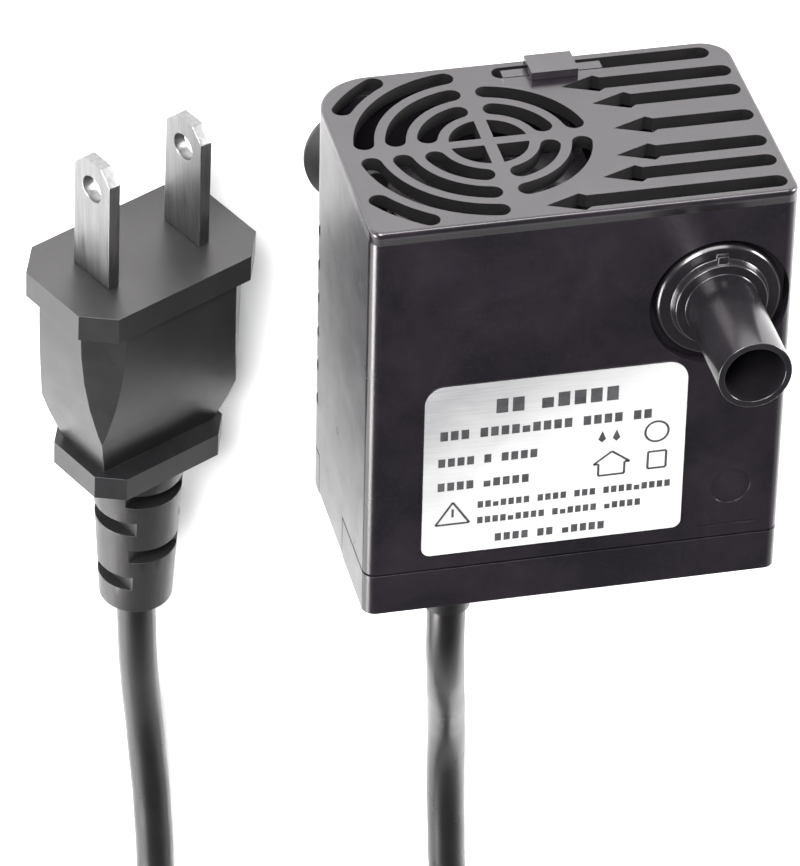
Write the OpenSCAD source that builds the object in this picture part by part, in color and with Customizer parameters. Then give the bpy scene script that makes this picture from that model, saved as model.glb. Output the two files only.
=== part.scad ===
// Small submersible fountain pump with a synchronous motor, a strainer casing, an upright outlet nozzle,
// three suction cups and a mains lead. It stands on its cups, with the intake grille facing -Y, the
// outlet pointing up and the lead leaving the rear. Millimetres.

/* [Casing] */
// Width of the body, across X
body_w = 48; // [47:0.5:50]
// Length of the body from grille to rear face, along Y
body_l = 51; // [50.5:0.5:53]
// Height of the body, underside to top
body_h = 32; // [31.5:0.5:34]
// Wall thickness of the casing
wall = 1.6; // [1.5:0.1:1.7]
// Radius of the lower edge on the +X side
edge_r_big = 6.5; // [5.5:0.5:7]
// Radius of the lower edge on the -X side
edge_r_small = 3.5; // [3:0.5:5]
// Radius of the two upper edges
edge_r_top = 1.5; // [1:0.25:2]
// Length of the rear cover's band
cover_band = 5.2; // [4.8:0.1:5.6]

/* [Intake grille] */
// Distance of the round grille's centre from mid-width
grille_x = 7.2; // [6.5:0.1:7.5]
// Width of every slot
slot_w = 2.3; // [2:0.1:2.4]
// Radial pitch of the ring slots
ring_pitch = 3.5; // [3.4:0.1:3.6]
// Outer radius of the four middle openings
eye_r = 4.45; // [4.2:0.05:4.5]
// Half width of the grille's cross-shaped spokes
spoke_half = 0.7; // [0.5:0.05:0.8]
// Radius of the arc on which the arrow tips lie
arrow_arc = 14.2; // [14:0.1:14.6]

/* [Outlet] */
// Distance of the outlet from mid-width, towards -X
outlet_off = 15.5; // [15:0.1:15.6]
// Distance of the outlet behind the grille face
outlet_set = 13.7; // [13.4:0.1:14]
// Outside diameter of the nozzle
nozzle_od = 8.3; // [8:0.1:8.6]
// Bore of the nozzle
nozzle_id = 6.8; // [6.4:0.1:7]
// Height of the nozzle above the body's top
nozzle_rise = 14.6; // [12:0.1:18]

/* [Suction cups] */
// Ground clearance given by the cups
cup_h = 4.5; // [4.5:0.5:6]
// Rim radius of a cup
cup_r = 6.6; // [6:0.1:7]

/* [Motor] */
// Diameter of the rotor magnet
magnet_d = 10; // [9.6:0.1:10.2]
// Length of the rotor magnet
magnet_l = 12; // [11:0.5:12]
// Diameter of the fixed shaft
shaft_d = 2; // [1.8:0.1:2.2]
// Diameter of the impeller
impeller_d = 17.2; // [15:0.1:17.6]
// Number of impeller blades
blade_count = 6; // [4:1:8]

/* [Regulator] */
// How far the knob stands proud of the grille face
knob_out = 1; // [0.8:0.1:1.4]
// Length of the knob
knob_l = 5.4; // [5:0.1:6]

/* [Lead] */
// Diameter of the cord
cord_d = 4.6; // [4.4:0.1:5]
// Radius of the coil at the middle of its turns
coil_r = 27.6; // [27:0.1:28]
// Height of the lead's outlet above the floor
lead_z = 14.5; // [14:0.5:15]

/* [Hidden] */
$fn = 48;
eps = 0.01;

// Frame: x across, y from the grille (-) to the rear (+), z up from the floor
front_y = -(body_l - knob_out) / 2;
under_z = cup_h;
top_z = under_z + body_h;
mid_z = under_z + body_h / 2;
outlet_x = -outlet_off;
outlet_y = front_y + outlet_set;
seam_s = body_l - cover_band - 0.2;
seam_gap = 0.25;

// Rotor axis, and stations behind the grille face
gate_s = 4.9;
gate_t = 0.8;
cover_s = 6.9;
chamber_s = 8.5;
housing_s = 17.5;
magnet_s = 19.5;
well_end_s = magnet_s + magnet_l + 1.8;
housing_end_s = 48.6;
chamber_r = impeller_d / 2 + 1.2;
chamber_wall = 1.3;
well_r = magnet_d / 2 + 0.5;
well_wall = 1;
running_gap = 0.05;

// Motor housing, a box round the stator
housing_x = [-10, 22];
housing_z = [under_z + 3.1, top_z - 3.1];
housing_wall = 1.2;
core_z = [mid_z - 6, mid_z + 6];
leg_w = 6;
yoke_s = [39, 43];
bobbin_x = [grille_x - 6.5, grille_x + 6.5];

// Outlet stack, from the duct up
duct_z = mid_z + 5.8;
duct_ri = 2.9;
duct_ro = 3.8;
riser_ri = 3.4;
riser_ro = 4.6;
duct_top_z = under_z + 27.9;
gasket_h = 1.1;
collar_z = duct_top_z + gasket_h + 0.1;
collar_ri = 6.3;
collar_ro = 8.8;
socket_r = 8;
flange_r = 7.2;

// Regulator slot, the lowest arrow slot
arrow_offsets = [-9.5, -5.45, 0, 5.45, 9.5, 13.85];
arrow_tail_x = -body_w / 2 + 1;
slider_z = mid_z - 13.65;
slider_slot_x = [-body_w / 2 + 3.6, 2.5];
slider_x = [-9, 2.5];
knob_x = -3.1;

// Suction cups: x and distance behind the grille face
cup_at = [[17, 13], [-17, 13], [0, 38]];

// Lead: exit, coil centre and plug
lead_x = 9;
relief_out = 16.2;
relief_end_y = front_y + body_l + relief_out;
coil_at = [25.2, 141];
coil_half = 2.5 * cord_d;
coil_rise = 2 * cord_d;
coil_lift = 0.5;
plug_at = [44.5, -9.5];
plug_roll = 27;
plug_tilt = 5.8;
plug_z = 11.7;

// Routes of the lead outside its coil, chosen by eye on the floor
route_pump = [[9, 41, 14.5], [9, 45, 14.5], [8.9, 49, 14.1], [8.5, 53, 13], [8, 57, 11.2], [7.3, 61, 9],
    [6.7, 65, 6.7], [6.1, 69, 4.7], [5.7, 73, 3.3], [5.5, 77, 2.6], [5.3, 82, 2.3], [5.1, 87, 2.3],
    [4.9, 92, 2.3], [4.4, 97, 2.3], [3, 102, 2.3], [1.1, 107, 2.3], [-1.2, 112, 2.4], [-3.9, 117, 2.4],
    [-6.9, 122, 2.5], [-9.3, 127, 2.6], [-10.8, 132, 2.7], [-11.4, 137, 2.8], [-11.6, 141, 2.8]];
route_plug = [[57.9, 141, 7.4], [57.2, 134, 7.4], [55.5, 128, 7.4], [53, 123, 7.4], [50.5, 118, 7.4],
    [48.4, 114, 7.4], [46.4, 110, 7.1], [44.7, 106, 6.4], [43.2, 102, 5.4], [42.1, 98, 4.3],
    [41.6, 94, 3.3], [41.5, 90, 2.6], [41.5, 86, 2.3], [41.6, 82, 2.3], [41.8, 78, 2.3], [42, 74, 2.3],
    [42.4, 69, 2.4], [42.9, 63, 2.9], [43.5, 57.5, 3.9], [44, 52, 5.1], [44.3, 46, 6], [44.5, 40.6, 6.6]];

// ---- shapes that repeat ----

// A 2D outline in x and z, extruded from y0 to y1
module along_y(y0, y1) {
    translate([0, y1, 0]) rotate([90, 0, 0]) linear_extrude(y1 - y0) children();
}

// A turned shape on an axis parallel to Y, starting s behind the grille face
module turned_y(x, s, z) {
    translate([x, front_y + s, z]) rotate([-90, 0, 0]) children();
}

// One corner of a rectangle taken off to a radius; sx and sy point out of the corner
module corner_off(x, z, sx, sz, r) {
    translate([x, z]) scale_sign(sx, sz) difference() {
        translate([-r, -r]) square(r + 1);
        translate([-r, -r]) circle(r);
    }
}

module scale_sign(sx, sz) {
    mirror([sx < 0 ? 1 : 0, 0]) mirror([0, sz < 0 ? 1 : 0]) children();
}

// The body's cross-section, drawn in by an inset
module body_outline(inset) {
    hw = body_w / 2 - inset;
    lo = under_z + inset;
    hi = top_z - inset;
    difference() {
        translate([-hw, lo]) square([2 * hw, hi - lo]);
        corner_off(hw, lo, 1, -1, max(edge_r_big - inset, 0.4));
        corner_off(-hw, lo, -1, -1, max(edge_r_small - inset, 0.4));
        corner_off(hw, hi, 1, 1, max(edge_r_top - inset, 0.4));
        corner_off(-hw, hi, -1, 1, max(edge_r_top - inset, 0.4));
    }
}

// A box along Y with rounded long edges
module rounded_box(x, z, s0, s1, r) {
    along_y(front_y + s0, front_y + s1) difference() {
        translate([x[0], z[0]]) square([x[1] - x[0], z[1] - z[0]]);
        corner_off(x[1], z[0], 1, -1, r);
        corner_off(x[0], z[0], -1, -1, r);
        corner_off(x[1], z[1], 1, 1, r);
        corner_off(x[0], z[1], -1, 1, r);
    }
}

// A curved slot with round ends, its middle radius between two angles
module arc_slot(r_out, w, a0, a1) {
    rm = r_out - w / 2;
    am = (a0 + a1) / 2;
    far = 3 * r_out;
    intersection() {
        difference() {
            circle(r_out);
            circle(r_out - w);
        }
        polygon([[0, 0], far * [cos(a0), sin(a0)], far * [cos(am), sin(am)], far * [cos(a1), sin(a1)]]);
    }
    for (a = [a0, a1]) translate(rm * [cos(a), sin(a)]) circle(w / 2 - eps, $fn = 24);
}

// Ring slots of one quadrant, from the ring next to the middle outwards
module ring_quadrant(turn, rings) {
    for (i = [1:rings]) {
        r_out = eye_r + i * ring_pitch;
        clear = asin((spoke_half + slot_w / 2 + 0.15) / (r_out - slot_w / 2));
        rotate(turn) arc_slot(r_out, slot_w, clear, 90 - clear);
    }
}

// A quarter of the middle opening
module eye_quadrant(turn) {
    rotate(turn) intersection() {
        circle(eye_r);
        translate([spoke_half, spoke_half]) square(eye_r);
    }
}

// A straight slot with an arrowhead at its +X end
module arrow_slot(tip, tail, v) {
    head = 4;
    flare = 1.7;
    translate([0, v]) {
        polygon([[tip, 0], [tip - head, flare], [tip - head - 0.7, slot_w / 2],
            [tip - head - 0.7, -slot_w / 2], [tip - head, -flare]]);
        translate([tail + slot_w / 2, -slot_w / 2]) square([tip - head - 0.6 - tail - slot_w / 2, slot_w]);
        translate([tail + slot_w / 2, 0]) circle(slot_w / 2 - eps, $fn = 24);
    }
}

module grille_openings() {
    translate([grille_x, mid_z]) {
        for (q = [0:90:270]) eye_quadrant(q);
        ring_quadrant(0, 3);
        ring_quadrant(270, 3);
        ring_quadrant(90, 2);
        ring_quadrant(180, 2);
        for (m = [1, -1]) arc_slot(eye_r + 4 * ring_pitch, slot_w, m * 33, m * 55);
    }
    for (v = arrow_offsets)
        arrow_slot(grille_x - sqrt(arrow_arc * arrow_arc - v * v), arrow_tail_x, mid_z + v);
    translate([slider_slot_x[0], slider_z - slot_w / 2])
        square([slider_slot_x[1] - slider_slot_x[0], slot_w]);
    for (x = slider_slot_x) translate([x, slider_z]) circle(slot_w / 2 - eps, $fn = 24);
}

// Unit vectors and rings for a tube swept along a route
function unit(v) = v / norm(v);
function heading(p, i) = unit(p[min(i + 1, len(p) - 1)] - p[max(i - 1, 0)]);
function side_of(t) = unit(cross(t, abs(t[2]) > 0.9 ? [1, 0, 0] : [0, 0, 1]));
function ring(c, t, r, n) = [for (k = [0:n - 1])
    c + r * (cos(360 * k / n) * side_of(t) + sin(360 * k / n) * cross(side_of(t), t))];

module swept_tube(p, r, n) {
    m = len(p);
    points = [for (i = [0:m - 1]) each ring(p[i], heading(p, i), r, n)];
    sides = [for (i = [0:m - 2]) for (k = [0:n - 1])
        [i * n + k, (i + 1) * n + k, (i + 1) * n + (k + 1) % n, i * n + (k + 1) % n]];
    ends = [[for (k = [0:n - 1]) k], [for (k = [n - 1:-1:0]) (m - 1) * n + k]];
    polyhedron(points, concat(sides, ends));
}

// A wire of straight runs with ball corners
module wire(p, r) {
    for (i = [0:len(p) - 2]) {
        d = p[i + 1] - p[i];
        translate(p[i]) rotate([0, acos(d[2] / norm(d)), atan2(d[1], d[0])])
            cylinder(h = norm(d), r = r, $fn = 16);
    }
    for (i = [1:len(p) - 2]) translate(p[i]) sphere(r, $fn = 16);
}

// ---- motor block ----

module side_tongue(gap) {
    for (m = [0, 1]) mirror([m, 0, 0])
        translate([body_w / 2 - wall + 0.1 - gap, front_y + seam_s - 1, under_z + 8 - gap])
            cube([wall + 1, cover_band + 2, 12.2 + 2 * gap]);
}

module rear_cover() {
    color("#1d1b20") difference() {
        union() {
            difference() {
                along_y(front_y + seam_s + seam_gap, front_y + body_l) body_outline(0);
                along_y(front_y + seam_s - 1, front_y + body_l - wall) body_outline(wall);
            }
            difference() {
                along_y(front_y + seam_s - 2, front_y + body_l - wall + eps) body_outline(wall + 0.1);
                along_y(front_y + seam_s - 3, front_y + body_l - wall) body_outline(wall + 0.9);
                for (m = [0, 1]) mirror([m, 0, 0])
                    translate([body_w / 2 - 4, front_y + seam_s - 3, under_z + 7])
                        cube([4, cover_band + 1.5, 14.2]);
                translate([housing_x[0] - 0.3, front_y + seam_s - 3, under_z])
                    cube([housing_x[1] - housing_x[0] + 0.6, housing_end_s - seam_s + 3.2, body_h]);
            }
        }
        side_tongue(0.15);
        turned_y(lead_x, body_l - wall - 1, lead_z) cylinder(h = wall + 2, r = 4.45);
    }
}

module motor_housing() {
    color("#26242a") {
        difference() {
            union() {
                difference() {
                    rounded_box(housing_x, housing_z, housing_s, housing_end_s, 3);
                    rounded_box([housing_x[0] + housing_wall, housing_x[1] - housing_wall],
                        [housing_z[0] + housing_wall, housing_z[1] - housing_wall],
                        housing_s + housing_wall, housing_end_s + 1, 1.8);
                }
                turned_y(grille_x, housing_s + 0.5, mid_z)
                    cylinder(h = well_end_s + well_wall - housing_s - 0.5, r = well_r + well_wall);
            }
            turned_y(grille_x, housing_s - 1, mid_z) cylinder(h = well_end_s - housing_s + 1, r = well_r);
        }
        turned_y(grille_x, well_end_s - 1.4, mid_z) difference() {
            cylinder(h = 1.4 + eps, r = 3);
            translate([0, 0, -1]) cylinder(h = 4, r = 2);
        }
    }
}

module stator_core() {
    half = leg_w + 6.8;
    color("silver") difference() {
        translate([grille_x - half, front_y + magnet_s + 0.5, core_z[0]])
            cube([2 * half, yoke_s[1] - magnet_s - 0.5, core_z[1] - core_z[0]]);
        translate([grille_x - 6.8, front_y + magnet_s, core_z[0] - 1])
            cube([13.6, yoke_s[0] - magnet_s, core_z[1] - core_z[0] + 2]);
        turned_y(grille_x, magnet_s - 1, mid_z) cylinder(h = magnet_l + 4, r = well_r + well_wall + 0.15);
        for (x = [-1, 1]) for (s = [24, 41]) translate([grille_x + x * 9.8, front_y + s, core_z[0] - 1])
            cylinder(h = 20, r = 1, $fn = 24);
    }
}

module core_rivets() {
    color("gray") for (x = [-1, 1]) for (s = [24, 41])
        translate([grille_x + x * 9.8, front_y + s, core_z[0] - 0.6]) {
            cylinder(h = core_z[1] - core_z[0] + 1.2, r = 0.97, $fn = 24);
            cylinder(h = 0.6 - eps, r = 1.7, $fn = 24);
            translate([0, 0, core_z[1] - core_z[0] + 0.6 + eps]) cylinder(h = 0.6, r = 1.7, $fn = 24);
        }
}

module yoke_box(x, grow) {
    translate([x[0], front_y + yoke_s[0] - grow, core_z[0] - grow])
        cube([x[1] - x[0], yoke_s[1] - yoke_s[0] + 2 * grow, core_z[1] - core_z[0] + 2 * grow]);
}

module coil_bobbin() {
    color("ivory") difference() {
        union() {
            yoke_box(bobbin_x, 0.8);
            yoke_box([bobbin_x[0], bobbin_x[0] + 1], 3);
            yoke_box([bobbin_x[1] - 1, bobbin_x[1]], 3);
        }
        yoke_box([bobbin_x[0] - 1, bobbin_x[1] + 1], 0.05);
    }
}

module coil_winding() {
    color("#b5622a") difference() {
        yoke_box([bobbin_x[0] + 1.02, bobbin_x[1] - 1.02], 2.7);
        yoke_box(bobbin_x, 0.82);
    }
}

module potting_plug() {
    color("#151515") difference() {
        rounded_box([housing_x[0] + housing_wall, housing_x[1] - housing_wall],
            [housing_z[0] + housing_wall, housing_z[1] - housing_wall], 47, housing_end_s - 0.1, 1.8);
        turned_y(lead_x, 46, lead_z) cylinder(h = 4, r = 3.55);
    }
}

module lead_live() {
    color("#5a3a22") wire([[lead_x + 0.9, front_y + 46.9, lead_z], [lead_x + 0.9, front_y + 46.5, lead_z],
        [lead_x + 0.9, front_y + 46.5, core_z[1] + 4.2], [lead_x + 0.9, front_y + 42, core_z[1] + 4.2]], 0.4);
}

module lead_neutral() {
    color("#2c5f9e") wire([[lead_x - 0.9, front_y + 46.9, lead_z], [lead_x - 0.9, front_y + 46.5, lead_z],
        [lead_x - 0.9, front_y + 46.5, core_z[0] - 3.9], [lead_x - 0.9, front_y + 42, core_z[0] - 3.9]], 0.4);
}

module thermal_fuse() {
    color("lightgray") translate([grille_x - 5, front_y + 41, core_z[1] + 4.2]) rotate([0, 90, 0]) {
        cylinder(h = 5.5, r = 1.35, $fn = 32);
        translate([0, 0, 5.4]) cylinder(h = 1.2, r = 0.5, $fn = 24);
    }
}

module bush(s, length) {
    turned_y(grille_x, s, mid_z) difference() {
        cylinder(h = length, r = 1.98);
        translate([0, 0, -1]) cylinder(h = length + 2, r = shaft_d / 2);
    }
}

module rear_bush() { color("white") bush(well_end_s - 1.4, 1.35); }
module front_bush() { color("white") bush(cover_s - 0.6, chamber_s - cover_s + 0.6); }

module rotor_shaft() {
    color("whitesmoke") turned_y(grille_x, cover_s - 0.4, mid_z)
        cylinder(h = well_end_s - cover_s + 0.3, r = shaft_d / 2);
}

module chamber_body() {
    color("#29272d") difference() {
        union() {
            turned_y(grille_x, chamber_s, mid_z)
                cylinder(h = housing_s - 0.4 - chamber_s, r = chamber_r + chamber_wall);
            translate([outlet_x, outlet_y, duct_z]) rotate([0, 90, 0]) cylinder(h = 18, r = duct_ro);
            translate([outlet_x, outlet_y, duct_z]) sphere(riser_ro);
            translate([outlet_x, outlet_y, duct_z]) cylinder(h = duct_top_z - duct_z, r = riser_ro);
            translate([outlet_x, outlet_y, duct_top_z - 1.2]) cylinder(h = 1.2, r = 6.2);
        }
        turned_y(grille_x, chamber_s - 1, mid_z) cylinder(h = 20, r = chamber_r);
        translate([outlet_x, outlet_y, duct_z]) rotate([0, 90, 0]) cylinder(h = 19, r = duct_ri);
        translate([outlet_x, outlet_y, duct_z]) sphere(riser_ri);
        translate([outlet_x, outlet_y, duct_z]) cylinder(h = 20, r = riser_ri);
    }
}

module chamber_gasket() {
    color("#3b3b3b") difference() {
        turned_y(grille_x, housing_s - 0.4, mid_z) cylinder(h = 0.4, r = chamber_r + chamber_wall - 0.1);
        turned_y(grille_x, housing_s - 1.4, mid_z) cylinder(h = 3, r = chamber_r + 0.1);
        translate([outlet_x, outlet_y, duct_z]) rotate([0, 90, 0]) cylinder(h = 18.5, r = duct_ro + 0.05);
    }
}

module chamber_cover() {
    eye = 4.5;
    color("#29272d") turned_y(grille_x, cover_s, mid_z) {
        difference() {
            cylinder(h = chamber_s - cover_s, r = chamber_r + chamber_wall);
            translate([0, 0, -1]) cylinder(h = 5, r = eye);
        }
        difference() {
            union() {
                translate([0, 0, -0.7]) cylinder(h = chamber_s - cover_s + 0.7, r = 2.7);
                for (a = [0:120:240]) rotate(a) translate([0, -0.5, 0])
                    cube([eye + 0.5, 1, chamber_s - cover_s]);
            }
            translate([0, 0, -2]) cylinder(h = 6, r = 2);
        }
    }
}

module duct_gasket() {
    color("#3b3b3b") translate([outlet_x, outlet_y, duct_top_z]) difference() {
        cylinder(h = gasket_h, r = 5.6);
        translate([0, 0, -1]) cylinder(h = 4, r = 3.6);
    }
}

// ---- lead, coil and plug ----

module cord_relief() {
    color("#18181a") turned_y(lead_x, 46.9, lead_z) {
        cylinder(h = 2, r = 3.5);
        translate([0, 0, 1.7]) cylinder(h = 0.75, r = 5.2);
        translate([0, 0, 1.7]) cylinder(h = 3, r = 4.4);
        translate([0, 0, 4.7])
            cylinder(h = body_l + relief_out - 46.9 - 4.7, r1 = 4.2, r2 = cord_d / 2 + 0.5);
    }
}

module cord_pump_side() { color("#141414") swept_tube(route_pump, cord_d / 2, 8); }
module cord_plug_side() { color("#141414") swept_tube(route_plug, cord_d / 2, 8); }

module cord_coil() {
    color("#141414") translate([coil_at[0], coil_at[1], coil_lift]) rotate_extrude($fn = 64) difference() {
        translate([coil_r - coil_half, 0]) square([2 * coil_half, coil_rise]);
        corner_off(coil_r + coil_half, coil_rise, 1, 1, cord_d / 2);
        corner_off(coil_r - coil_half, coil_rise, -1, 1, cord_d / 2);
        corner_off(coil_r + coil_half, 0, 1, -1, cord_d / 2);
        corner_off(coil_r - coil_half, 0, -1, -1, cord_d / 2);
    }
}

module cord_tie() {
    t = 0.5;
    color("#202020") translate([coil_at[0], coil_at[1] + coil_r, 0]) difference() {
        translate([-2.5, -coil_half - t, 0]) cube([5, 2 * (coil_half + t), coil_rise + 2 * t]);
        translate([-3, -coil_half, t]) cube([6, 2 * coil_half, coil_rise]);
    }
}

// The plug's own frame: origin at the flange's front face, +Y towards the cord, x across both blades
module plug_place() {
    translate([plug_at[0], plug_at[1], plug_z]) rotate([-plug_tilt, 0, 0])
        rotate([0, -plug_roll, 0]) children();
}

// An outline across the plug: a rectangle with 45 degree corners
module plug_section(hw, hh, cut) {
    polygon([[hw, hh - cut], [hw - cut, hh], [cut - hw, hh], [-hw, hh - cut],
        [-hw, cut - hh], [cut - hw, -hh], [hw - cut, -hh], [hw, cut - hh]]);
}

// The plug body narrows in a smooth curve from the flange to its collar
function plug_half(t) = 11.4 - 3.6 * pow(t, 2.2);
plug_steps = 6;
module plug_side(shrink) {
    right = [for (i = [0:plug_steps]) [plug_half(i / plug_steps) - shrink, 3.4 + 22.6 * i / plug_steps]];
    left = [for (i = [plug_steps:-1:0]) [-right[i][0], right[i][1]]];
    polygon(concat([[right[0][0], 3]], right, left, [[-right[0][0], 3]]));
}

module plug_body() {
    color("#1c1c1e") plug_place() {
        along_y(0, 3.4) plug_section(12.5, 8, 3.2);
        intersection() {
            translate([0, 0, -10]) linear_extrude(20) plug_side(0);
            rotate([0, 90, 0]) translate([0, 0, -20]) linear_extrude(40) plug_side(4);
            along_y(2, 27) plug_section(11.4, 7.4, 3.6);
        }
        along_y(25.9, 29) plug_section(9.2, 6.4, 2.6);
        difference() {
            translate([0, 28.9, 0]) rotate([-90, 0, 0]) cylinder(h = 21.6, r1 = 5.4, r2 = 4.3);
            for (i = [0:3]) translate([-8, 31.8 + 4.4 * i, 0]) {
                if (i % 2 == 0) for (m = [0, 1]) mirror([0, 0, m]) translate([0, 0, 3.1]) cube([16, 2, 4]);
                if (i % 2 == 1) for (x = [0, 11.1]) translate([x, 0, -4]) cube([4.9, 2, 8]);
            }
        }
    }
}

module plug_blade(side) {
    color("gainsboro") plug_place() difference() {
        translate([side * 6.35 - 0.75, -15.9, -3.175]) cube([1.5, 15.9, 6.35]);
        for (m = [0, 1]) mirror([0, 0, m]) translate([side * 6.35 - 2, -15.9, 3.175])
            rotate([45, 0, 0]) translate([0, -1.2, -1.2]) cube([4, 2.4, 2.4]);
        translate([side * 6.35 - 2, -12.2, 0]) rotate([0, 90, 0]) cylinder(h = 4, r = 1.6, $fn = 32);
    }
}

module plug_blade_near() { plug_blade(-1); }
module plug_blade_far() { plug_blade(1); }

// ---- rotor ----

module rotor_magnet() {
    color("#4a4a4e") turned_y(grille_x, magnet_s, mid_z) difference() {
        cylinder(h = magnet_l, r = magnet_d / 2);
        translate([0, 0, -1]) cylinder(h = magnet_l + 2, r = 2.62);
    }
}

module impeller() {
    hub = 2.6;
    color("#242227") turned_y(grille_x, chamber_s + 0.6, mid_z) difference() {
        union() {
            cylinder(h = magnet_s + magnet_l - chamber_s - 0.6, r = hub);
            translate([0, 0, 6.7]) cylinder(h = 1, r = impeller_d / 2);
            for (i = [0:blade_count - 1]) rotate(i * 360 / blade_count) translate([hub - 0.4, -0.5, 0.9])
                cube([impeller_d / 2 - hub + 0.3, 1, 6]);
        }
        translate([0, 0, -1]) cylinder(h = 40, r = shaft_d / 2 + running_gap);
    }
}

// ---- casing ----

module intake_grille() {
    color("#2b2830") difference() {
        along_y(front_y, front_y + wall) body_outline(0);
        along_y(front_y - 1, front_y + wall + 1) grille_openings();
    }
}

module strainer_casing() {
    color("#2b2830") difference() {
        union() {
            difference() {
                along_y(front_y + wall, front_y + seam_s) body_outline(0);
                along_y(front_y + wall - 1, front_y + seam_s + 1) body_outline(wall);
                translate([outlet_x, outlet_y, top_z - wall - 1]) cylinder(h = 5, r = socket_r);
                for (m = [1, -1]) for (i = [0:5]) {
                    reach = m > 0 ? edge_r_big : edge_r_small;
                    x = m > 0 ? body_w / 2 - reach - 3 : -body_w / 2 - 1;
                    translate([x, front_y + 15 + 4.56 * i, under_z - 1]) cube([reach + 4, 1.5, reach + 1.2]);
                }
            }
            intersection() {
                side_tongue(0);
                along_y(front_y + seam_s - eps, front_y + body_l - 0.3) body_outline(0);
            }
            intersection() {
                translate([outlet_x, outlet_y, collar_z])
                    cylinder(h = top_z - wall - collar_z + eps, r = collar_ro);
                along_y(front_y + wall, front_y + seam_s) body_outline(wall / 2);
            }
            for (c = cup_at) intersection() {
                translate([c[0], front_y + c[1], under_z]) cylinder(h = 2.1, r = 3);
                along_y(front_y, front_y + seam_s) body_outline(0);
            }
        }
        translate([outlet_x, outlet_y, collar_z - 1]) cylinder(h = 9, r = collar_ri);
        for (c = cup_at) translate([c[0], front_y + c[1], under_z - 1]) cylinder(h = 5, r = 1.7);
        translate([-18, front_y + 38.9, top_z - 0.15]) cylinder(h = 1, r = 2.3);
        translate([-21, front_y + 43.9, top_z - 0.15]) cube([6.4, 0.3, 1]);
    }
}

module rating_label() {
    x = [-12.3, 17.6];
    s = [21, 43.6];
    color("#b9b9bb") translate([0, 0, top_z]) linear_extrude(0.2) difference() {
        translate([x[0], front_y + s[0]]) square([x[1] - x[0], s[1] - s[0]]);
        corner_off(x[1], front_y + s[1], 1, 1, 1);
        corner_off(x[0], front_y + s[1], -1, 1, 1);
        corner_off(x[1], front_y + s[0], 1, -1, 2.3);
        corner_off(x[0], front_y + s[0], -1, -1, 2.3);
    }
}

// A suction cup: a thin bell with a neck, a stalk and a button that holds it in the casing
module cup(i) {
    rim = cup_r;
    rise = cup_h;
    color("#161616") translate([cup_at[i][0], front_y + cup_at[i][1], 0]) rotate_extrude()
        polygon([[0, rise * 0.42], [rim * 0.45, rise * 0.34], [rim - 0.7, 0], [rim, 0], [rim, 0.5],
            [rim * 0.72, rise * 0.5], [2.5, rise * 0.72], [2.5, rise - 0.02], [1.6, rise - 0.02],
            [1.6, rise + 2.2], [2.3, rise + 2.2], [1.8, rise + 2.9], [0, rise + 2.9]]);
}

module cup_front_left() { cup(0); }
module cup_front_right() { cup(1); }
module cup_rear() { cup(2); }

// ---- nozzle ----

module outlet_nozzle() {
    ledge = top_z - wall + 0.02;
    color("#1e1c21") translate([outlet_x, outlet_y, 0]) difference() {
        union() {
            translate([0, 0, collar_z]) cylinder(h = ledge - collar_z + 0.1, r = 5.7);
            translate([0, 0, ledge]) cylinder(h = 1, r = flange_r);
            translate([0, 0, ledge + 1]) cylinder(h = 0.4, r1 = flange_r, r2 = flange_r - 0.4);
            translate([0, 0, ledge + 1.3]) cylinder(h = 1.1, r1 = 5.6, r2 = 5.2);
            translate([0, 0, ledge + 1]) cylinder(h = top_z + nozzle_rise - ledge - 1, r = nozzle_od / 2);
            translate([-0.6, -6.2, ledge + 1.3]) cube([1.2, 1.5, 0.8]);
        }
        translate([0, 0, collar_z - 1]) cylinder(h = 30, r = nozzle_id / 2);
        translate([0, 0, collar_z + 0.3]) difference() {
            cylinder(h = 0.8, r = 7);
            translate([0, 0, -1]) cylinder(h = 3, r = 5.4);
        }
    }
}

module nozzle_ring() {
    color("#3b3b3b") translate([outlet_x, outlet_y, collar_z + 0.7]) rotate_extrude()
        translate([5.83, 0]) circle(0.38, $fn = 24);
}

// ---- regulator ----

module regulator_slide() {
    bar = slider_x[1] - slider_x[0];
    arm_x = [-4.5, -1];
    gate_at = 5.9;
    color("#3a363f") {
        translate([slider_x[0], front_y + 0.15, slider_z - 0.75]) cube([bar, wall + 0.2, 1.5]);
        translate([knob_x - knob_l / 2, front_y - knob_out, under_z + 0.7])
            cube([knob_l, knob_out - running_gap, 3.9]);
        translate([knob_x - 2, front_y - knob_out / 2, slider_z - 0.7]) cube([4, knob_out, 1.4]);
        translate([arm_x[0], front_y + 1, slider_z - 0.5])
            cube([arm_x[1] - arm_x[0], gate_s + gate_t - 1, 1.2]);
        translate([arm_x[0], front_y + gate_s, slider_z - 0.5])
            cube([arm_x[1] - arm_x[0], gate_t, mid_z + 3.9 - slider_z + 0.5]);
        translate([arm_x[0], front_y + gate_s, mid_z - 3.9]) cube([gate_at - arm_x[0], gate_t, 7.8]);
        turned_y(gate_at, gate_s, mid_z) cylinder(h = gate_t, r = 3.9);
    }
}

rear_cover();
motor_housing();
stator_core();
core_rivets();
coil_bobbin();
coil_winding();
potting_plug();
lead_live();
lead_neutral();
thermal_fuse();
rear_bush();
front_bush();
rotor_shaft();
chamber_body();
chamber_gasket();
chamber_cover();
duct_gasket();
cord_relief();
cord_pump_side();
cord_coil();
cord_tie();
cord_plug_side();
plug_body();
plug_blade_near();
plug_blade_far();
rotor_magnet();
impeller();
intake_grille();
strainer_casing();
rating_label();
cup_front_left();
cup_front_right();
cup_rear();
outlet_nozzle();
nozzle_ring();
regulator_slide();
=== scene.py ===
"""Looks of a small fountain pump that stands on its suction cups, with its lead and plug beside it."""

import math

import bmesh
import bpy
from mathutils import Matrix, Vector


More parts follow.
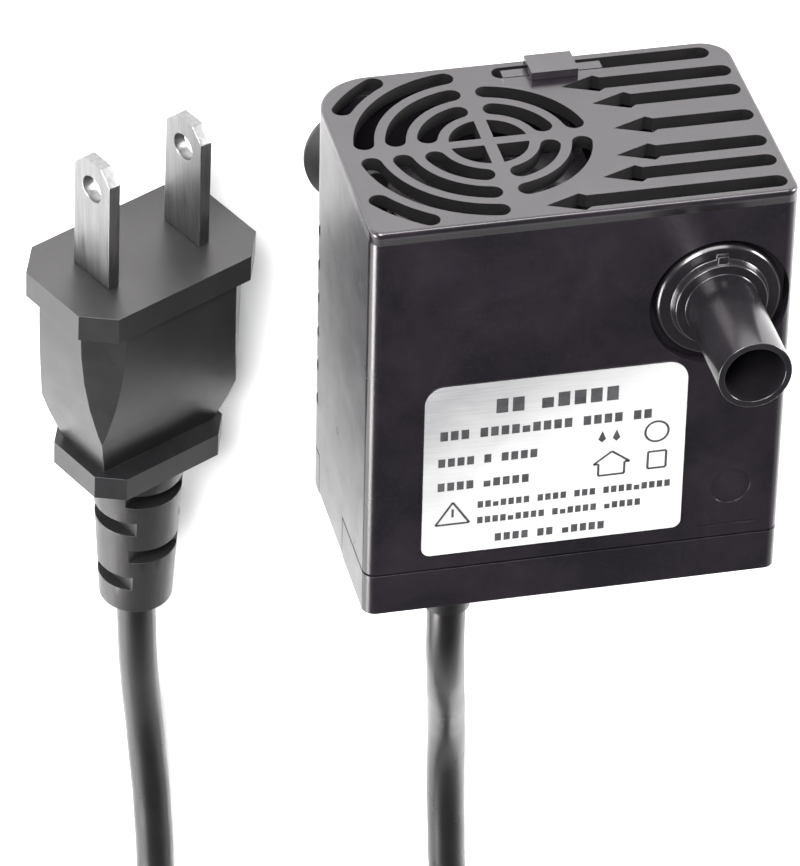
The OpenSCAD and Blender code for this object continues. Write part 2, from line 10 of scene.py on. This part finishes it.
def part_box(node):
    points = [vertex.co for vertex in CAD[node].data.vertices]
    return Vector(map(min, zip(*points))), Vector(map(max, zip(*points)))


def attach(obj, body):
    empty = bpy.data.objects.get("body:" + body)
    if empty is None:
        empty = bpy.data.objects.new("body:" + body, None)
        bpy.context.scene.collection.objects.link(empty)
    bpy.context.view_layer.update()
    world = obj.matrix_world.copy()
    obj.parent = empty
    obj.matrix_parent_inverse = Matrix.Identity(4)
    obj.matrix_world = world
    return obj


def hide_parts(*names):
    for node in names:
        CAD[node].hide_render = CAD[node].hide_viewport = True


MM = 0.001

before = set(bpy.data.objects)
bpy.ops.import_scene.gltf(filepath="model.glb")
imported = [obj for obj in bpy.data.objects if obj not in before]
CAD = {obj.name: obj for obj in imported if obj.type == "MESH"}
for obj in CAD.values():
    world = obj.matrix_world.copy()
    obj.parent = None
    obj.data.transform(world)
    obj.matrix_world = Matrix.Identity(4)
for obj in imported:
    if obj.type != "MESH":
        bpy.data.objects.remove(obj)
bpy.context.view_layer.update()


# ---- camera ----

CAMERA_AT = Vector((149.1, -383.6, 570.7)) * MM
CAMERA_RIGHT = Vector((-0.97205, -0.0278, 0.2331))
CAMERA_UP = Vector((-0.1098, -0.8237, -0.5563))
AIM_RIGHT = -11.8 * MM
AIM_UP = -24 * MM
LENS = 253.4


def make_camera():
    data = bpy.data.cameras.new("camera")
    data.sensor_width = 36
    data.lens = LENS
    data.clip_start = 0.05
    data.clip_end = 20
    camera = bpy.data.objects.new("camera", data)
    aim = CAMERA_RIGHT * AIM_RIGHT + CAMERA_UP * AIM_UP
    back = (CAMERA_AT - aim).normalized()
    right = CAMERA_UP.cross(back).normalized()
    up = back.cross(right)
    turn = Matrix((right, up, back)).transposed().to_4x4()
    camera.matrix_world = Matrix.Translation(CAMERA_AT) @ turn
    bpy.context.scene.collection.objects.link(camera)
    bpy.context.scene.camera = camera


make_camera()


# ---- material nodes ----

class Nodes:
    """A material's node tree, with short calls to add a node and join it up."""

    def __init__(self, name):
        self.material = bpy.data.materials.new(name)
        self.material.use_nodes = True
        self.tree = self.material.node_tree
        self.shader = self.tree.nodes["Principled BSDF"]
        self.place = self.add("ShaderNodeTexCoord").outputs["Object"]

    def add(self, kind, **settings):
        node = self.tree.nodes.new(kind)
        for key, value in settings.items():
            setattr(node, key, value)
        return node

    def join(self, source, target):
        self.tree.links.new(source, target)

    def put(self, socket, value):
        """Sets a socket to a number or colour, or joins another node's output to it."""
        if isinstance(value, bpy.types.NodeSocket):
            self.join(value, socket)
        else:
            socket.default_value = value

    def noise(self, scale, detail=3.0, roughness=0.55, distortion=0.0, stretch=(1, 1, 1)):
        mapping = self.add("ShaderNodeMapping")
        mapping.inputs["Scale"].default_value = stretch
        self.join(self.place, mapping.inputs["Vector"])
        node = self.add("ShaderNodeTexNoise")
        self.join(mapping.outputs["Vector"], node.inputs["Vector"])
        node.inputs["Scale"].default_value = scale
        node.inputs["Detail"].default_value = detail
        node.inputs["Roughness"].default_value = roughness
        node.inputs["Distortion"].default_value = distortion
        return node.outputs["Fac"]

    def spread(self, value, low, high, to_low=0.0, to_high=1.0):
        node = self.add("ShaderNodeMapRange")
        self.put(node.inputs["Value"], value)
        node.inputs["From Min"].default_value = low
        node.inputs["From Max"].default_value = high
        node.inputs["To Min"].default_value = to_low
        node.inputs["To Max"].default_value = to_high
        return node.outputs["Result"]

    def blend(self, factor, a, b):
        node = self.add("ShaderNodeMix", data_type="RGBA")
        self.put(node.inputs["Factor"], factor)
        self.put(node.inputs[6], a)
        self.put(node.inputs[7], b)
        return node.outputs[2]

    def math(self, operation, a, b=0.0):
        node = self.add("ShaderNodeMath", operation=operation)
        self.put(node.inputs[0], a)
        self.put(node.inputs[1], b)
        return node.outputs[0]

    def bump(self, height, strength, distance, under=None):
        node = self.add("ShaderNodeBump")
        node.inputs["Strength"].default_value = strength
        node.inputs["Distance"].default_value = distance
        self.join(height, node.inputs["Height"])
        if under is not None:
            self.join(under, node.inputs["Normal"])
        return node.outputs["Normal"]


def rgb(r, g, b):
    return (r, g, b, 1)


def moulded(name, dark, light, rough=(0.34, 0.46), grain=0.12, mottle=120, wave=0.25):
    """Injection moulded plastic: faint flow mottling, a fine spark-eroded grain and uneven gloss."""
    n = Nodes(name)
    flow = n.spread(n.noise(mottle, 4, 0.6, 0.4), 0.35, 0.68)
    fleck = n.spread(n.noise(2600, 2, 0.5), 0.55, 0.75, 0, 0.35)
    colour = n.blend(flow, rgb(*dark), rgb(*light))
    brighter = tuple(1.6 * c for c in light)
    n.put(n.shader.inputs["Base Color"], n.blend(fleck, colour, rgb(*brighter)))
    n.put(n.shader.inputs["Roughness"], n.spread(n.noise(210, 5, 0.6), 0.3, 0.7, *rough))
    fine = n.bump(n.noise(5200, 2, 0.5), grain, 0.00005)
    n.join(n.bump(n.noise(160, 2, 0.5), wave, 0.0001, fine), n.shader.inputs["Normal"])
    n.shader.inputs["IOR"].default_value = 1.53
    n.shader.inputs["Specular Tint"].default_value = rgb(1, 0.955, 0.97)
    return n.material


def metal(name, dark, light, rough, brush=(1, 1, 40), scale=900):
    """Bare or plated metal with fine brushing in one direction."""
    n = Nodes(name)
    lines = n.noise(scale, 3, 0.6, 0, brush)
    n.put(n.shader.inputs["Base Color"], n.blend(n.spread(lines, 0.35, 0.65), rgb(*dark), rgb(*light)))
    n.put(n.shader.inputs["Roughness"], n.spread(lines, 0.3, 0.7, *rough))
    n.shader.inputs["Metallic"].default_value = 1
    n.join(n.bump(lines, 0.15, 0.00003), n.shader.inputs["Normal"])
    return n.material


def label_foil():
    """Satin silver foil: fine brushing, a painted light gradient across it (darker towards the high-X, low-Y
    corner) with a random clouding of tone, and slightly uneven gloss.
    """
    n = Nodes("label_foil")
    low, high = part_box("rating_label")
    axes = n.add("ShaderNodeSeparateXYZ")
    n.join(n.place, axes.inputs["Vector"])
    across = n.spread(axes.outputs["X"], low.x, high.x)
    along = n.spread(axes.outputs["Y"], low.y, high.y)
    # painted light: the foil's colour darkens towards its high-X, low-Y corner, where the lamps' sheen falls
    # off; the noise added next is random tone
    sweep = n.math("ADD", n.math("MULTIPLY", across, -0.55), n.math("MULTIPLY", along, 0.75))
    painted_light_and_cloud = n.math("ADD", sweep, n.spread(n.noise(90, 3, 0.5, 0.3), 0.3, 0.7, -0.12, 0.12))
    tone = n.blend(n.spread(painted_light_and_cloud, -0.45, 0.25), rgb(0.24, 0.24, 0.247), rgb(0.5, 0.5, 0.497))
    brushing = n.noise(4000, 2, 0.5, 0, (0.05, 1, 1))
    glint = n.spread(brushing, 0.3, 0.7, 0, 0.12)
    n.put(n.shader.inputs["Base Color"], n.blend(glint, tone, rgb(0.62, 0.62, 0.61)))
    n.put(n.shader.inputs["Roughness"], n.spread(n.noise(300, 3, 0.5), 0.3, 0.7, 0.3, 0.42))
    n.shader.inputs["Metallic"].default_value = 0.35
    n.join(n.bump(brushing, 0.1, 0.00002), n.shader.inputs["Normal"])
    return n.material


def paint(piece, material):
    piece.data.materials.clear()
    piece.data.materials.append(material)


casing_plastic = moulded("casing_plastic", (0.004, 0.0034, 0.0048), (0.0085, 0.0066, 0.009),
                         (0.22, 0.28), 0.1)
# painted shade: a near-black, matte, weakly reflecting plastic on the grille's slot walls stands in for the
# shade inside the openings
slot_painted_shade = moulded("slot_painted_shade", (0.002, 0.002, 0.002), (0.004, 0.0038, 0.004), (0.7, 0.85), 0.1)
slot_painted_shade.node_tree.nodes["Principled BSDF"].inputs["Specular IOR Level"].default_value = 0.12
nozzle_plastic = moulded("nozzle_plastic", (0.005, 0.0045, 0.0055), (0.009, 0.008, 0.0095),
                         (0.16, 0.24), 0.04)
slide_plastic = moulded("slide_plastic", (0.008, 0.007, 0.009), (0.014, 0.012, 0.015), (0.2, 0.28), 0.06)
cord_plastic = moulded("cord_plastic", (0.003, 0.003, 0.0032), (0.006, 0.006, 0.0065),
                       (0.26, 0.34), 0.08, 60, 0.06)
plug_plastic = moulded("plug_plastic", (0.005, 0.005, 0.0055), (0.010, 0.010, 0.0105), (0.32, 0.42), 0.12, 90)
rubber = moulded("cup_rubber", (0.008, 0.008, 0.008), (0.014, 0.014, 0.014), (0.45, 0.6), 0.1, 200)
tie_nylon = moulded("tie_nylon", (0.014, 0.014, 0.015), (0.022, 0.022, 0.023), (0.3, 0.4), 0.05)
nylon = moulded("bobbin_nylon", (0.6, 0.56, 0.44), (0.72, 0.68, 0.56), (0.35, 0.5))
resin = moulded("cast_resin", (0.012, 0.012, 0.013), (0.02, 0.02, 0.021), (0.1, 0.25), 0.02)
wire_brown = moulded("wire_brown", (0.08, 0.035, 0.015), (0.12, 0.05, 0.02), (0.3, 0.4))
wire_blue = moulded("wire_blue", (0.02, 0.08, 0.28), (0.03, 0.11, 0.34), (0.3, 0.4))
ceramic = moulded("ceramic", (0.72, 0.72, 0.7), (0.82, 0.82, 0.79), (0.1, 0.2), 0.02)
ferrite = moulded("ferrite", (0.04, 0.04, 0.043), (0.075, 0.075, 0.08), (0.45, 0.7), 0.35, 700)
impeller_plastic = moulded("impeller_plastic", (0.012, 0.012, 0.013), (0.02, 0.02, 0.021), (0.25, 0.4))
foil = label_foil()
print_ink = moulded("print_ink", (0.012, 0.012, 0.014), (0.03, 0.03, 0.032), (0.5, 0.65), 0.05, 900)
blade_metal = metal("blade_metal", (0.15, 0.15, 0.153), (0.2, 0.2, 0.2), (0.34, 0.42), (1, 0.04, 1), 2500)
steel = metal("core_steel", (0.4, 0.4, 0.41), (0.52, 0.52, 0.53), (0.35, 0.55), (1, 1, 40), 600)
copper = metal("enamel_copper", (0.4, 0.13, 0.04), (0.55, 0.2, 0.07), (0.2, 0.35), (40, 1, 1), 400)


# ---- lead ----

CORD_D = 4.6 * MM
COIL_AT = Vector((25.2, 141)) * MM
COIL_OUTER = 36.8 * MM
COIL_FOOT = 2.8 * MM
TURNS_IN_LAYER = 4
STEP_TURNS = 0.4
COIL_TURNS = 7.5
POINTS_IN_TURN = 16
ROUTE_PUMP = [
    (9, 41, 14.5), (9, 45, 14.5), (8.9, 49, 14.1), (8.5, 53, 13), (8, 57, 11.2), (7.3, 61, 9),
    (6.7, 65, 6.7), (6.1, 69, 4.7), (5.7, 73, 3.3), (5.5, 77, 2.6), (5.3, 82, 2.3), (5.1, 87, 2.3),
    (4.9, 92, 2.3), (4.4, 97, 2.3), (3, 102, 2.3), (1.1, 107, 2.3), (-1.2, 112, 2.4), (-3.9, 117, 2.4),
    (-6.9, 122, 2.5), (-9.3, 127, 2.6), (-10.8, 132, 2.7), (-11.4, 137, 2.8), (-11.6, 141, 2.8),
]
ROUTE_PLUG = [
    (57.9, 141, 7.4), (57.2, 134, 7.4), (55.5, 128, 7.4), (53, 123, 7.4), (50.5, 118, 7.4),
    (48.4, 114, 7.4), (46.4, 110, 7.1), (44.7, 106, 6.4), (43.2, 102, 5.4), (42.1, 98, 4.3),
    (41.6, 94, 3.3), (41.5, 90, 2.6), (41.5, 86, 2.3), (41.6, 82, 2.3), (41.8, 78, 2.3), (42, 74, 2.3),
    (42.4, 69, 2.4), (42.9, 63, 2.9), (43.5, 57.5, 3.9), (44, 52, 5.1), (44.3, 46, 6), (44.5, 40.6, 6.6),
]


def coil_point(turn):
    """A point of the coil: a spiral inwards on the floor, a step up, and a spiral outwards on top of it."""
    inwards = min(turn, TURNS_IN_LAYER) * CORD_D
    outwards = max(0.0, turn - TURNS_IN_LAYER - STEP_TURNS) * CORD_D
    radius = COIL_OUTER - inwards + outwards
    step = min(max((turn - TURNS_IN_LAYER) / STEP_TURNS, 0.0), 1.0)
    rise = CORD_D * step * step * (3 - 2 * step)
    angle = math.pi - 2 * math.pi * turn
    return (COIL_AT.x + radius * math.cos(angle), COIL_AT.y + radius * math.sin(angle), COIL_FOOT + rise)


def make_lead():
    count = round(COIL_TURNS * POINTS_IN_TURN)
    coil = [coil_point(i / POINTS_IN_TURN) for i in range(1, count)]
    start = [tuple(c * MM for c in p) for p in ROUTE_PUMP]
    end = [tuple(c * MM for c in p) for p in ROUTE_PLUG]
    points = start + coil + end
    curve = bpy.data.curves.new("lead", "CURVE")
    curve.dimensions = "3D"
    curve.bevel_depth = CORD_D / 2
    curve.bevel_resolution = 6
    curve.resolution_u = 4
    spline = curve.splines.new("BEZIER")
    spline.bezier_points.add(len(points) - 1)
    for point, place in zip(spline.bezier_points, points):
        point.co = place
        point.handle_left_type = point.handle_right_type = "AUTO"
    lead = bpy.data.objects.new("lead", curve)
    bpy.context.scene.collection.objects.link(lead)
    curve.materials.append(cord_plastic)
    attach(lead, "motor_block")
    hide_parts("cord_pump_side", "cord_coil", "cord_plug_side")
    return lead


lead = make_lead()


# ---- coil tie ----

TIE_WIDTH = 5 * MM
TIE_GAP = 0.02 * MM
TIE_THICK = 0.46 * MM
TIE_EDGE = 0.12 * MM
TIE_ARC_STEPS = 8
# Cords that the tie bends round, as (distance from the coil's centre, height)
TIE_CORNERS = [(21.85, 2.8), (35.65, 2.8), (31.51, 7.4), (22.31, 7.4), (18.4, 5.95)]


def around(corners, reach):
    """A loop drawn round circles of one radius, given anticlockwise."""
    loop = []
    for i, (x, z) in enumerate(corners):
        before, after = corners[i - 1], corners[(i + 1) % len(corners)]
        start = math.atan2(z - before[1], x - before[0]) - math.pi / 2
        end = math.atan2(after[1] - z, after[0] - x) - math.pi / 2
        sweep = (end - start) % (2 * math.pi)
        for step in range(TIE_ARC_STEPS + 1):
            angle = start + sweep * step / TIE_ARC_STEPS
            loop.append((x * MM + reach * math.cos(angle), z * MM + reach * math.sin(angle)))
    return loop


def make_tie():
    """A flat strap pulled tight round the coil's cords."""
    mesh = bmesh.new()
    rings = []
    for reach, side in ((0, -1), (0, 1), (TIE_THICK, 1), (TIE_THICK, -1)):
        loop = around(TIE_CORNERS, CORD_D / 2 + TIE_GAP + reach)
        rings.append([mesh.verts.new((COIL_AT.x + side * TIE_WIDTH / 2, COIL_AT.y + y, z)) for y, z in loop])
    for ring, following in zip(rings, rings[1:] + rings[:1]):
        for i in range(len(ring)):
            j = (i + 1) % len(ring)
            mesh.faces.new((ring[i], ring[j], following[j], following[i]))
    bmesh.ops.recalc_face_normals(mesh, faces=mesh.faces)
    long_edges = [e for e in mesh.edges if e.calc_face_angle(0) > math.radians(60)]
    bmesh.ops.bevel(mesh, geom=long_edges, offset=TIE_EDGE, segments=2, profile=0.5, affect="EDGES")
    for face in mesh.faces:
        face.smooth = True
    data = bpy.data.meshes.new("tie")
    mesh.to_mesh(data)
    mesh.free()
    data.materials.append(tie_nylon)
    tie = bpy.data.objects.new("tie", data)
    bpy.context.scene.collection.objects.link(tie)
    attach(tie, "motor_block")
    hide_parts("cord_tie")
    return tie


tie = make_tie()


# ---- CAD pieces with moulded edges ----

MERGE = 0.04 * MM
FLAT_ANGLE = math.radians(1)
HARD_ANGLE = math.radians(28)


def is_hard(edge):
    return len(edge.link_faces) == 2 and edge.calc_face_angle(0) > HARD_ANGLE


def everywhere(edge):
    return True


def reworked(name, node, body, material, passes, second=None):
    """A copy of a CAD piece with rounded hard edges; passes is a list of (width, segments, which edges)."""
    mesh = bmesh.new()
    mesh.from_mesh(CAD[node].data)
    bmesh.ops.remove_doubles(mesh, verts=mesh.verts, dist=MERGE)
    bmesh.ops.dissolve_degenerate(mesh, dist=MERGE / 4, edges=mesh.edges)
    bmesh.ops.dissolve_limit(mesh, angle_limit=FLAT_ANGLE, verts=mesh.verts, edges=mesh.edges)
    for width, segments, chosen in passes:
        hard = [e for e in mesh.edges if is_hard(e) and chosen(e)]
        bmesh.ops.bevel(mesh, geom=hard, offset=width, offset_type="OFFSET", segments=segments, profile=0.5,
                        affect="EDGES", clamp_overlap=True, harden_normals=False)
        bmesh.ops.remove_doubles(mesh, verts=mesh.verts, dist=MERGE / 8)
    for face in mesh.faces:
        face.smooth = True
        face.material_index = 1 if second and second[1](face) else 0
    data = bpy.data.meshes.new(name)
    mesh.to_mesh(data)
    mesh.free()
    piece = bpy.data.objects.new(name, data)
    bpy.context.scene.collection.objects.link(piece)
    normals = piece.modifiers.new("normals", "WEIGHTED_NORMAL")
    normals.keep_sharp = False
    data.materials.append(material)
    if second:
        data.materials.append(second[0])
    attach(piece, body)
    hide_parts(node)
    return piece


def middle(edge):
    return (edge.verts[0].co + edge.verts[1].co) / 2


grille_low, grille_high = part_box("intake_grille")


RIM_REACH = 0.3 * MM
CORNERS = ((1, -1, 6.5 * MM), (-1, -1, 3.5 * MM), (1, 1, 1.5 * MM), (-1, 1, 1.5 * MM))


def on_outline(place):
    """True on the outer boundary of the body's cross-section."""
    low, high = grille_low, grille_high
    for side, level, radius in CORNERS:
        edge_x = high.x if side > 0 else low.x
        edge_z = high.z if level > 0 else low.z
        x = (place.x - edge_x) * side + radius
        z = (place.z - edge_z) * level + radius
        if x > 0 and z > 0:
            return math.hypot(x, z) > radius - 0.15 * MM
    reach = min(place.x - low.x, high.x - place.x, place.z - low.z, high.z - place.z)
    return reach < RIM_REACH


def front_rim(edge):
    """The outer edge of the grille's front face."""
    at_front = max(v.co.y for v in edge.verts) < grille_low.y + 0.01 * MM
    return at_front and on_outline(middle(edge))


def slot_edge(edge):
    return not on_outline(middle(edge))


def slot_wall(face):
    """The walls of the openings through the grille, which take the painted shade material."""
    return abs(face.normal.y) < 0.5 and not on_outline(face.calc_center_median())


def make_pump_shell():
    # the slot walls take the painted shade material
    reworked("grille", "intake_grille", "casing", casing_plastic,
             [(0.1 * MM, 2, slot_edge), (0.5 * MM, 4, front_rim)], (slot_painted_shade, slot_wall))
    reworked("casing", "strainer_casing", "casing", casing_plastic,
             [(0.15 * MM, 2, everywhere)])
    reworked("cover", "rear_cover", "motor_block", casing_plastic, [(0.2 * MM, 2, everywhere)])
    reworked("nozzle", "outlet_nozzle", "nozzle", nozzle_plastic, [(0.15 * MM, 3, everywhere)])
    reworked("flow_slide", "regulator_slide", "regulator", slide_plastic,
             [(0.15 * MM, 2, everywhere)])
    reworked("plug", "plug_body", "motor_block", plug_plastic, [(0.35 * MM, 3, everywhere)])
    for side in ("near", "far"):
        reworked("blade_" + side, "plug_blade_" + side, "motor_block", blade_metal,
                 [(0.12 * MM, 2, everywhere)])


make_pump_shell()


# ---- label print ----

INK_LIFT = 0.012 * MM
STROKE_SHARE = 0.009
LETTER_PITCH = 0.78
LETTER_WIDTH = 0.72
# Rows of the print: (reading start, height down the label, letter height, word lengths), as shares of
# the label
PRINT_ROWS = [
    (0.27, 0.13, 0.105, (2, 5)), (0.06, 0.28, 0.068, (3, 9, 4, 2)), (0.055, 0.44, 0.062, (4, 1, 4)),
    (0.055, 0.585, 0.062, (4, 5)), (0.21, 0.715, 0.05, (7, 4, 3, 9)), (0.21, 0.81, 0.05, (9, 6, 5)),
    (0.28, 0.925, 0.058, (4, 2, 5)),
]
# Plain pictograms: two filled drops, and strokes for a house, a triangle with a bar, a ring and a square
DROPS = [[(0.68 + d, 0.36), (0.665 + d, 0.41), (0.68 + d, 0.43), (0.695 + d, 0.41)] for d in (0, 0.055)]
STROKES = [
    [(0.65, 0.56), (0.72, 0.49), (0.79, 0.56), (0.77, 0.56), (0.77, 0.63), (0.67, 0.63), (0.67, 0.56),
     (0.65, 0.56)],
    [(0.05, 0.82), (0.115, 0.69), (0.18, 0.82), (0.05, 0.82)], [(0.115, 0.73), (0.115, 0.78)],
    [(0.89 + 0.045 * math.cos(a / 10 * math.pi), 0.4 + 0.06 * math.sin(a / 10 * math.pi)) for a in range(21)],
    [(0.86, 0.52), (0.93, 0.52), (0.93, 0.62), (0.86, 0.62), (0.86, 0.52)],
]


def make_label_print():
    """Rows of plain blocks and simple pictograms standing in for the label's print."""
    low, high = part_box("rating_label")
    wide, deep = high.x - low.x, high.y - low.y
    mesh = bmesh.new()

    def patch(shares):
        ink_z = high.z + INK_LIFT
        mesh.faces.new([mesh.verts.new((high.x - u * wide, low.y + v * deep, ink_z)) for u, v in shares])

    for start, level, height, words in PRINT_ROWS:
        step = height * deep / wide * LETTER_PITCH
        reach = start
        for word in words:
            for letter in range(word):
                tall = 1.6 * height * (0.5 if (letter * 7 + word * 3) % 5 else 0.36)
                foot, end = level + height / 2, reach + step * LETTER_WIDTH
                patch([(reach, foot), (end, foot), (end, foot - tall), (reach, foot - tall)])
                reach += step
            reach += step * 0.8
    for drop in DROPS:
        patch(drop)
    for stroke in STROKES:
        for (u, v), (to_u, to_v) in zip(stroke, stroke[1:]):
            along = Vector(((to_u - u) * wide, (to_v - v) * deep)).normalized() * STROKE_SHARE / 2 * wide
            du, dv = -along.y / wide, along.x / deep
            patch([(u + du, v + dv), (to_u + du, to_v + dv), (to_u - du, to_v - dv), (u - du, v - dv)])
    bmesh.ops.recalc_face_normals(mesh, faces=mesh.faces)
    for face in mesh.faces:
        face.normal_update()
        if face.normal.z < 0:
            face.normal_flip()
    data = bpy.data.meshes.new("label_print")
    mesh.to_mesh(data)
    mesh.free()
    data.materials.append(print_ink)
    piece = bpy.data.objects.new("label_print", data)
    bpy.context.scene.collection.objects.link(piece)
    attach(piece, "casing")


make_label_print()

FINISHES = {
    "motor_housing": casing_plastic, "stator_core": steel, "core_rivets": steel, "coil_bobbin": nylon,
    "coil_winding": copper, "potting_plug": resin, "lead_live": wire_brown, "lead_neutral": wire_blue,
    "thermal_fuse": steel, "rear_bush": ceramic, "front_bush": ceramic, "rotor_shaft": ceramic,
    "chamber_body": casing_plastic, "chamber_gasket": rubber, "chamber_cover": casing_plastic,
    "duct_gasket": rubber, "cord_relief": cord_plastic, "rotor_magnet": ferrite,
    "impeller": impeller_plastic, "rating_label": foil, "cup_front_left": rubber, "cup_front_right": rubber,
    "cup_rear": rubber, "nozzle_ring": rubber,
}
for node, finish in FINISHES.items():
    paint(CAD[node], finish)


# ---- floor and light ----

def make_floor():
    bpy.ops.mesh.primitive_plane_add(size=6, location=(0, 0, -0.0002))
    floor = bpy.context.object
    floor.name = "floor"
    n = Nodes("floor_paper")
    soft = n.noise(3, 2, 0.5)
    n.put(n.shader.inputs["Base Color"], n.blend(soft, rgb(0.88, 0.88, 0.88), rgb(0.9, 0.9, 0.9)))
    n.shader.inputs["Roughness"].default_value = 0.9
    n.shader.inputs["Specular IOR Level"].default_value = 0.1
    paint(floor, n.material)


def make_light(name, place, aim, size, power):
    data = bpy.data.lights.new(name, "AREA")
    data.shape = "RECTANGLE"
    data.size, data.size_y = size
    data.energy = power
    light = bpy.data.objects.new(name, data)
    light.location = place
    light.rotation_euler = (Vector(aim) - Vector(place)).to_track_quat("-Z", "Y").to_euler()
    bpy.context.scene.collection.objects.link(light)


def make_world(horizon, zenith):
    """A plain studio: pale walls all round, darker overhead."""
    world = bpy.data.worlds.new("studio")
    world.use_nodes = True
    tree = world.node_tree
    place = tree.nodes.new("ShaderNodeTexCoord")
    axes = tree.nodes.new("ShaderNodeSeparateXYZ")
    height = tree.nodes.new("ShaderNodeMapRange")
    height.interpolation_type = "SMOOTHSTEP"
    height.inputs["From Min"].default_value = 0.15
    height.inputs["From Max"].default_value = 0.7
    height.inputs["To Min"].default_value = horizon
    height.inputs["To Max"].default_value = zenith
    tree.links.new(place.outputs["Generated"], axes.inputs["Vector"])
    tree.links.new(axes.outputs["Z"], height.inputs["Value"])
    tree.links.new(height.outputs["Result"], tree.nodes["Background"].inputs["Strength"])
    tree.nodes["Background"].inputs["Color"].default_value = rgb(1, 1, 1)
    bpy.context.scene.world = world


make_floor()
make_world(1.3, 0.12)
make_light("front", (0.1, -1.3, 0.75), (0, 0, 0), (1.4, 0.7), 42)
make_light("key", (0.5, -0.8, 1.0), (0.02, 0, 0), (0.5, 0.5), 36)
make_light("side", (1.5, 0.5, 0.5), (0, 0, 0.02), (1.0, 0.7), 60)
make_light("nozzle_side", (-1.1, -0.35, 0.35), (-0.02, 0, 0.04), (0.35, 0.5), 34)
bpy.context.scene.view_settings.view_transform = "Standard"
